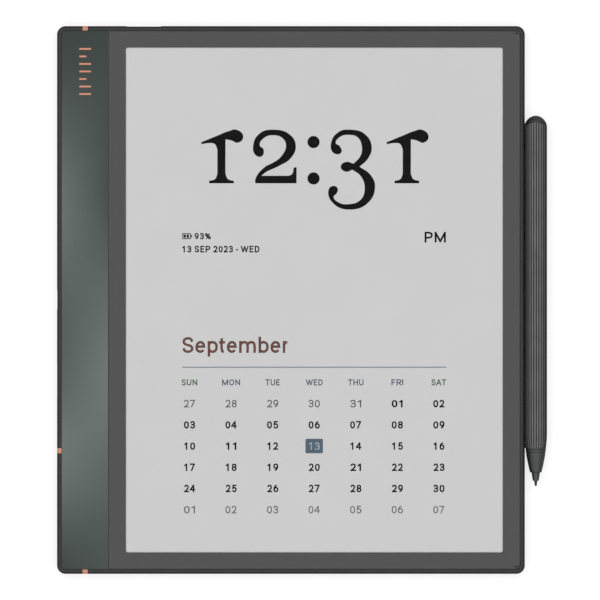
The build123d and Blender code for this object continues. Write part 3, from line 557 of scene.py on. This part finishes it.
def line_of_text(words, x, baseline, cap_height, width, pen, centred=False):
    """Text with capitals cap_height tall, stretched or squeezed to width, in one mesh."""
    letters = bmesh.new()
    pen_x = 0.0
    for letter in words:
        advance, left, across, strokes = LETTERS[letter]
        if strokes:
            letters.from_mesh(pen_strokes(strokes, pen, pen_x + left, across))
        pen_x += advance
    mesh = built(letters, "text")
    left, right = reach_in_x(mesh)
    mesh.transform(Matrix.Diagonal((1, 1, PRINT_THICK * 2 / pen, 1)))
    scale_x = width / (right - left)
    start = x - width / 2 if centred else x
    return moved(mesh, start - left * scale_x, baseline, scale_x, cap_height)


def rounded_bar(x, y, width, height, radius):
    """An upright rectangle with rounded corners, from its middle and size."""
    points = []
    for sx, sy in ((1, 1), (-1, 1), (-1, -1), (1, -1)):
        corner = Vector((sx * (width / 2 - radius), sy * (height / 2 - radius)))
        turn = math.atan2(sy, sx)
        for step in (-1, 0, 1):
            angle = turn + step * math.pi / 4
            points.append((corner.x + radius * math.cos(angle), corner.y + radius * math.sin(angle)))
    flat = [(px, py, SMOOTH if index % 3 == 1 else CORNER) for index, (px, py) in enumerate(points)]
    return moved(outline(flat), x, y, 1.0)


def ring_of_points(x, y, radius):
    steps = 8
    return [(x + radius * math.cos(math.tau * i / steps), y + radius * math.sin(math.tau * i / steps))
            for i in range(steps)]


DIGIT_HEIGHT = 22.1
CLOCK_BASELINE = 48.1
ONE_X, TWO_X, THREE_X, LAST_ONE_X = -46.6, -25.1, 5.8, 29.8
COLON_X, COLON_Y, COLON_R = -0.27, (50.1, 65.1), 2.5

# Old-style figures, in hundredths of their own height above the baseline.
FIGURE_ONE = [
    (0, 76.5, CORNER), (27, 87.5), (52, 97.5), (66, 100), (78.5, 87), (69, 75.8), (56, 80),
    (45.5, 82, CORNER), (45.3, 18, CORNER), (50, 8), (61, 4.5, CORNER), (61, 0, CORNER), (15, 0, CORNER),
    (15, 4.5, CORNER), (26, 8), (30.3, 18, CORNER), (30.3, 63, CORNER), (25, 73.5), (14, 75), (1, 73, CORNER),
]
FIGURE_TWO = [
    (3.7, 0, CORNER), (3.7, 7.3), (21, 30), (37.7, 39), (51, 49), (61, 71.7), (54, 84.5), (37, 89.7),
    (20, 84.5), (12, 71), (19, 63.3), (16, 50.7), (5, 52), (0, 71.7), (12.5, 93.5), (37.7, 100), (68, 91),
    (79.3, 70), (70, 47), (47.7, 32.3), (24, 21), (15, 14, CORNER), (66, 14, CORNER), (72.5, 17.5),
    (75.3, 29, CORNER), (80.7, 30.3, CORNER), (80.7, 0, CORNER),
]
FIGURE_THREE = [
    (5, 73.3), (19, 95.5), (42.3, 100), (68, 92), (81, 68.3), (74, 46), (58.3, 31, CORNER), (79, 15.5),
    (87.3, -6.7), (73, -37.5), (39, -49), (11, -39), (0, -15), (7, -5.3), (17, -8.5), (15.5, -19),
    (10, -25), (19, -35.5), (37.3, -39), (60, -31), (68, -8.3), (60, 14), (45, 25.3, CORNER),
    (32.3, 21.7), (23.3, 31), (32.3, 39.7), (47.3, 36.7, CORNER), (60.5, 52), (62, 72), (55, 85.5),
    (40.7, 90.3), (22, 86.5), (14, 75), (20.7, 70), (24, 57), (10, 56.5),
]


def clock():
    unit = DIGIT_HEIGHT / 100
    figures = [(FIGURE_ONE, ONE_X), (FIGURE_TWO, TWO_X), (FIGURE_THREE, THREE_X), (FIGURE_ONE, LAST_ONE_X)]
    digits = [moved(outline(figure), x, CLOCK_BASELINE, unit) for figure, x in figures]
    dots = [moved(outline(ring_of_points(0, 0, COLON_R)), COLON_X, y, 1.0) for y in COLON_Y]
    return digits + dots


def status_lines():
    date = line_of_text("13 SEP 2023 - WED", -54.45, 19.6, 2.75, 31.9, 0.19)
    charge = line_of_text("93%", -49.3, 25.0, 2.65, 6.7, 0.19)
    half_day = line_of_text("PM", 45.5, 23.7, 4.4, 8.9, 0.17)
    return [date, charge, half_day]


def battery_sign():
    """A cell seen from the side: its case, its charge in two blocks, and the nub on its end."""
    x, y = -52.6, 26.3
    wall = 0.32
    case = [rounded_bar(x, y + side * 1.05, 3.4, wall, 0.1) for side in (-1, 1)]
    case += [rounded_bar(x + side * 1.6, y, wall, 2.3, 0.1) for side in (-1, 1)]
    charge = [rounded_bar(x + dx, y, 0.95, 1.3, 0.12) for dx in (-0.75, 0.5)]
    nub = rounded_bar(x + 2.05, y, 0.4, 1.1, 0.12)
    return [*case, *charge, nub]


WEEKDAY_BASELINE, WEEKDAY_HEIGHT = -35.2, 2.5
COLUMN_PITCH = 17.13
ROW_TOP = -42.7
ROW_PITCH = 8.74
DAYS = ("SUN", "MON", "TUE", "WED", "THU", "FRI", "SAT")
DAY_WIDTHS = (6.5, 7.5, 6.0, 7.0, 6.4, 4.8, 6.1)
NUMBER_HEIGHT, NUMBER_WIDTH = 3.13, 4.6
WEEKS_SHOWN = 6
FIRST_OF_MONTH = 5  # the column of day 1
MONTH_DAYS = 30
LAST_MONTH_DAYS = 31
TODAY = 13


def column_x(column):
    return (column - 3) * COLUMN_PITCH


def row_y(row):
    return ROW_TOP - row * ROW_PITCH


def day_name(column):
    place = (column_x(column), WEEKDAY_BASELINE, WEEKDAY_HEIGHT, DAY_WIDTHS[column])
    return line_of_text(DAYS[column], *place, 0.165, centred=True)


def calendar_days():
    """The grid's numbers, in lists by how they are printed: this month, last month, next month and today."""
    lists = {"month": [], "before": [], "after": [], "today": []}
    for place in range(WEEKS_SHOWN * len(DAYS)):
        day = place - FIRST_OF_MONTH + 1
        kind = "before" if day < 1 else "after" if day > MONTH_DAYS else "today" if day == TODAY else "month"
        number = day + LAST_MONTH_DAYS if day < 1 else day - MONTH_DAYS if day > MONTH_DAYS else day
        row, column = divmod(place, len(DAYS))
        pen = 0.19 if kind == "month" else 0.14
        baseline = row_y(row) - 1.57
        grid_place = (column_x(column), baseline, NUMBER_HEIGHT, NUMBER_WIDTH)
        lists[kind].append(line_of_text(f"{number:02d}", *grid_place, pen, centred=True))
    return lists


def printed(name, meshes, color):
    """One film on the screen from all the marks that share a colour."""
    joined = bmesh.new()
    for mesh in meshes:
        joined.from_mesh(mesh)
    ink = surface(name, color, 0.85, grain=9000.0, bump=0.05, mottle=0.03, specular=0.05)
    finish_piece(built(joined, name), name, ink, "tablet")


def screen_content():
    days = calendar_days()
    month_name = line_of_text("September", -54.3, -21.8, 6.5, 43.3, 0.155)
    row, column = divmod(TODAY + FIRST_OF_MONTH - 1, len(DAYS))
    today_box = rounded_bar(column_x(column), row_y(row), 7.2, 6.0, 0.55)
    for mesh in days["today"]:
        mesh.transform(Matrix.Translation((0, 0, 2.1 * PRINT_THICK)))
    printed("screen_clock", clock(), grey(10))
    printed("screen_status", status_lines() + battery_sign(), grey(10))
    printed("screen_month_name", [month_name], srgb(108, 74, 66))
    printed("screen_rule", [rounded_bar(0, -27.7, 108.9, 0.42, 0.1)], srgb(112, 122, 134))
    printed("screen_weekdays", [day_name(column) for column in range(1, 6)], srgb(74, 90, 110))
    printed("screen_weekends", [day_name(column) for column in (0, 6)], srgb(60, 98, 62))
    printed("screen_days", days["month"], grey(12))
    printed("screen_days_before", days["before"], grey(98))
    printed("screen_days_after", days["after"], grey(112))
    printed("screen_today_box", [today_box], srgb(80, 93, 106))
    printed("screen_today", days["today"], srgb(178, 190, 202))


# ---------------------------------------------------------------- the strip's mark and its seam
def strip_mark():
    """Plain bars in a column at the head of the strip, like ruled lines, raised a hair above the metal."""
    bars = 7
    pitch = 3.1 * MM
    half_width, half_height, lift = 2.4 * MM, 0.36 * MM, 0.02 * MM
    short_share = 0.6
    below_top = 16.8 * MM
    centre = Vector((middle("antenna_band_top").x, strip_high.y - below_top, strip_high.z))
    joined = bmesh.new()
    for i in range(bars):
        y = centre.y + (i - (bars - 1) / 2) * pitch
        reach = half_width * (short_share if i % 3 == 2 else 1.0)
        box = bmesh.ops.create_cube(joined, size=1.0)
        size = Matrix.Diagonal((2 * reach, 2 * half_height, lift, 1))
        left = centre.x - half_width + reach
        place = Matrix.Translation((left, y, centre.z))
        bmesh.ops.transform(joined, matrix=place @ size, verts=box["verts"])
    bmesh.ops.bevel(joined, geom=joined.edges[:], offset=0.008 * MM, segments=1, affect="EDGES")
    mesh = built(joined, "strip_mark")
    finish_piece(mesh, "strip_mark", FINISH["orange_plastic"], "tablet")


def seam_bead():
    """The bead of dark sealant that fills the seam between the strip and the lens, flush with both."""
    width, sink = 0.2 * MM, 0.06 * MM
    seam_x = (strip_high.x + lens_left) / 2
    steps = 6
    section = []
    for i in range(steps + 1):
        angle = math.pi * i / steps
        section.append((seam_x - width / 2 * math.cos(angle), strip_high.z - sink * (1 - math.sin(angle))))
    bead = bmesh.new()
    ends = [[bead.verts.new((x, y, z)) for x, z in section] for y in (strip_low.y, strip_high.y)]
    tube_of_rings(bead, ends)
    finish_piece(built(bead, "seam_bead"), "seam_bead", FINISH["bezel_ink"], "tablet")


# ---------------------------------------------------------------- stylus
def gap_shade_pad():
    """The thin soft pad along the stylus's flat, which rests against the tablet's side without a gap and
    keeps the glowing floor from showing through there. Its dark rubber is painted shade: a dark piece put
    into the crevice between tablet and stylus, where there is only shade.
    """
    half_height, round_off = 1.5 * MM, 0.4 * MM
    end_gap, sink = 0.3 * MM, 0.05 * MM
    x_inner, x_outer = frame_high.x, barrel_low.x + sink
    y_low, y_high = barrel_low.y + end_gap, barrel_high.y - end_gap
    section = [
        (x_outer, -half_height),
        (x_inner, round_off - half_height),
        (x_inner, half_height - round_off),
        (x_outer, half_height),
    ]
    pad = bmesh.new()
    rings = []
    for y, shrink in ((y_low, 0.5), (y_low + round_off, 1.0), (y_high - round_off, 1.0), (y_high, 0.5)):
        rings.append([pad.verts.new((x, y, PEN_AXIS.z + z * shrink)) for x, z in section])
    tube_of_rings(pad, rings)
    finish_piece(built(pad, "gap_shade_pad"), "gap_shade_pad", FINISH["rubber"], "stylus")


def lathe(name, profile, segments, cut_at, slot):
    """A closed surface round the stylus's axis, through (y, radius) places, with a flat along the tablet.

    cut_at(y, angle) gives how deep the surface is cut there, and its painted light and shade value.
    """
    skin = bmesh.new()
    light_and_shade_layer = skin.verts.layers.float.new(PAINTED_LIGHT_AND_SHADE)
    rings = []
    for y, radius in profile:
        ring = []
        for j in range(segments):
            angle = math.tau * j / segments
            depth, painted_light_and_shade = cut_at(y, angle)
            x = max(-PEN_FLAT, (radius - depth) * math.cos(angle))
            z = (radius - depth) * math.sin(angle)
            vertex = skin.verts.new((PEN_AXIS.x + x, y, PEN_AXIS.z + z))
            vertex[light_and_shade_layer] = painted_light_and_shade
            ring.append(vertex)
        rings.append(ring)
    tube_of_rings(skin, rings)
    for face in skin.faces:
        face.smooth = len(face.verts) == 4
    return finish_piece(built(skin, name), name, FINISH[slot], "stylus")


def dome_profile(steps):
    """The barrel's rounded top, from the cap's edge down to the full width."""
    wide_y = dome_top - DOME_LENGTH
    top = math.asin((barrel_high.y - wide_y) / DOME_LENGTH)
    angles = [top * i / steps for i in range(steps + 1)]
    return [(wide_y + DOME_LENGTH * math.sin(a), PEN_R * math.cos(a)) for a in reversed(angles)]


def taper_profile(steps):
    """The barrel's front, which narrows ever faster from the full width to the nose."""
    start = barrel_low.y + TAPER_LENGTH
    shares = [i / steps for i in range(steps + 1)]
    return [(start - share * TAPER_LENGTH, PEN_R - (PEN_R - NOSE_R) * share**1.8) for share in shares]


def flutes(y, angle):
    """Rounded ridges with narrower grooves between, which start along an arch and stop short of the nose;
    also the painted light and shade, dark in the grooves and towards the sides, light on the ridges.
    """
    start = barrel_high.y - FLUTE_ARCH * math.cos(angle) ** 2
    from_end = min(start - y, y - barrel_low.y - FLUTE_END)
    share = min(1.0, max(0.0, from_end / FLUTE_RUN_OUT))
    groove = (0.5 + 0.5 * math.cos(FLUTES * (angle + math.pi / FLUTES))) ** 1.5
    plain = 0.45 if y < 0 else 0.15  # at the front edge, and on the dome
    # Painted shade: darker towards the sides of the barrel, lightest on top and underneath.
    towards_top = min(1.0, max(0.0, (abs(math.sin(angle)) - 0.55) / 0.4))
    side_shade_factor = 0.3 + 0.7 * towards_top
    return share * FLUTE_DEPTH * groove, side_shade_factor * (share * (1 - groove) + (1 - share) * plain)


def uncut(y, angle):
    """The nose is turned smooth, and its finish has no use for the painted light and shade value."""
    return 0.0, 0.0


def stylus_barrel():
    """The dome, the fluted length, and a narrow ring where the flutes run out before the nose."""
    end = barrel_low.y + FLUTE_END
    ring_r = NOSE_R + (PEN_R - NOSE_R) * 0.1
    front = [place for place in taper_profile(14) if place[0] > end + 0.35 * MM]
    ring = [(end + step * MM, ring_r) for step in (0.3, 0.15, 0.02)]
    profile = [*dome_profile(14), *front, *ring, (barrel_low.y, NOSE_R)]
    piece = lathe("stylus_barrel_skin", profile, FLUTES * 12, flutes, "stylus_metal")
    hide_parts("stylus_barrel")


def stylus_nose():
    """A smooth ring, a fine groove round it, and the cone down to the collar."""
    top = barrel_low.y
    groove_y = top - 1.4 * MM
    tip_r, tip_edge = 2.43 * MM, 0.25 * MM
    start_y, start_r = groove_y - 0.2 * MM, NOSE_R * 0.962
    end_y = nose_low.y + tip_edge
    profile = [
        (top, NOSE_R),
        (groove_y, NOSE_R * 0.972),
        (groove_y - 0.05 * MM, NOSE_R * 0.945),
        (groove_y - 0.15 * MM, NOSE_R * 0.945),
        (start_y, start_r),
    ]
    steps = 12
    for i in range(1, steps + 1):
        share = i / steps
        y = start_y + (end_y - start_y) * share
        profile.append((y, start_r - (start_r - tip_r) * (0.72 * share + 0.28 * share**2)))
    profile.append((nose_low.y, tip_r - tip_edge))
    piece = lathe("stylus_nose_skin", profile, 96, uncut, "stylus_plastic")
    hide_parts("stylus_nose")


# ---------------------------------------------------------------- floor, light and camera
WHITE = (1.0, 1.0, 1.0, 1.0)
FLOOR_GLOW = 0.78
SKY_STRENGTH = 0.38
SOFTBOX_SIZE = 0.9
SOFTBOX_HEIGHT = 2.0
SOFTBOX_REACH = 0.85  # out from the middle, in X and in Y
SOFTBOX_WATTS = 14.0
BRIGHTEST_WATTS = 18.0


def glowing_floor():
    """A pale translucent table lit from below, as cut-out shots are made."""
    material = surface("floor", grey(124), 0.9, grain=300.0, bump=0.01, mottle=0.0, specular=0.1)
    shader = material.node_tree.nodes["Principled BSDF"]
    shader.inputs["Emission Color"].default_value = WHITE
    shader.inputs["Emission Strength"].default_value = FLOOR_GLOW
    return material


def floor():
    size, drop = 3.0, 0.02 * MM
    mesh = bpy.data.meshes.new("floor")
    corners = [(x * size, y * size, -drop) for x, y in ((-1, -1), (1, -1), (1, 1), (-1, 1))]
    mesh.from_pydata(corners, [], [(0, 1, 2, 3)])
    mesh.materials.append(glowing_floor())
    plane = bpy.data.objects.new("floor", mesh)
    bpy.context.scene.collection.objects.link(plane)


def softbox(name, place, watts):
    light = bpy.data.lights.new(name, "AREA")
    light.shape = "DISK"
    light.size = SOFTBOX_SIZE
    light.energy = watts
    lamp = bpy.data.objects.new(name, light)
    lamp.location = place
    lamp.rotation_euler = (-Vector(place)).to_track_quat("-Z", "Y").to_euler()
    bpy.context.scene.collection.objects.link(lamp)


def studio():
    """An even white sky and four soft lights in a ring, outside what the lens and the strip mirror."""
    world = bpy.data.worlds.new("studio")
    world.use_nodes = True
    sky = world.node_tree.nodes["Background"]
    sky.inputs["Color"].default_value = WHITE
    sky.inputs["Strength"].default_value = SKY_STRENGTH
    bpy.context.scene.world = world
    bpy.context.scene.view_settings.view_transform = "Standard"
    corners = {"north_west": (-1, 1), "north_east": (1, 1), "south_east": (1, -1), "south_west": (-1, -1)}
    for name, (x, y) in corners.items():
        watts = BRIGHTEST_WATTS if name == "north_west" else SOFTBOX_WATTS
        softbox(name, (x * SOFTBOX_REACH, y * SOFTBOX_REACH, SOFTBOX_HEIGHT), watts)


def camera():
    """Straight down through a long lens, with the tablet a little left of the middle."""
    tablet_share = 0.9144  # of the picture's height
    lens_mm, sensor_mm = 300.0, 36.0
    aim_x = -0.8 * MM
    picture = (frame_high.y - frame_low.y) / tablet_share
    data = bpy.data.cameras.new("camera")
    data.lens = lens_mm
    data.sensor_width = sensor_mm
    eye = bpy.data.objects.new("camera", data)
    eye.location = (aim_x, 0.0, strip_high.z + picture * lens_mm / sensor_mm)
    bpy.context.scene.collection.objects.link(eye)
    bpy.context.scene.camera = eye


dress_frame()
screen_content()
strip_mark()
seam_bead()
gap_shade_pad()
stylus_barrel()
stylus_nose()
floor()
studio()
camera()
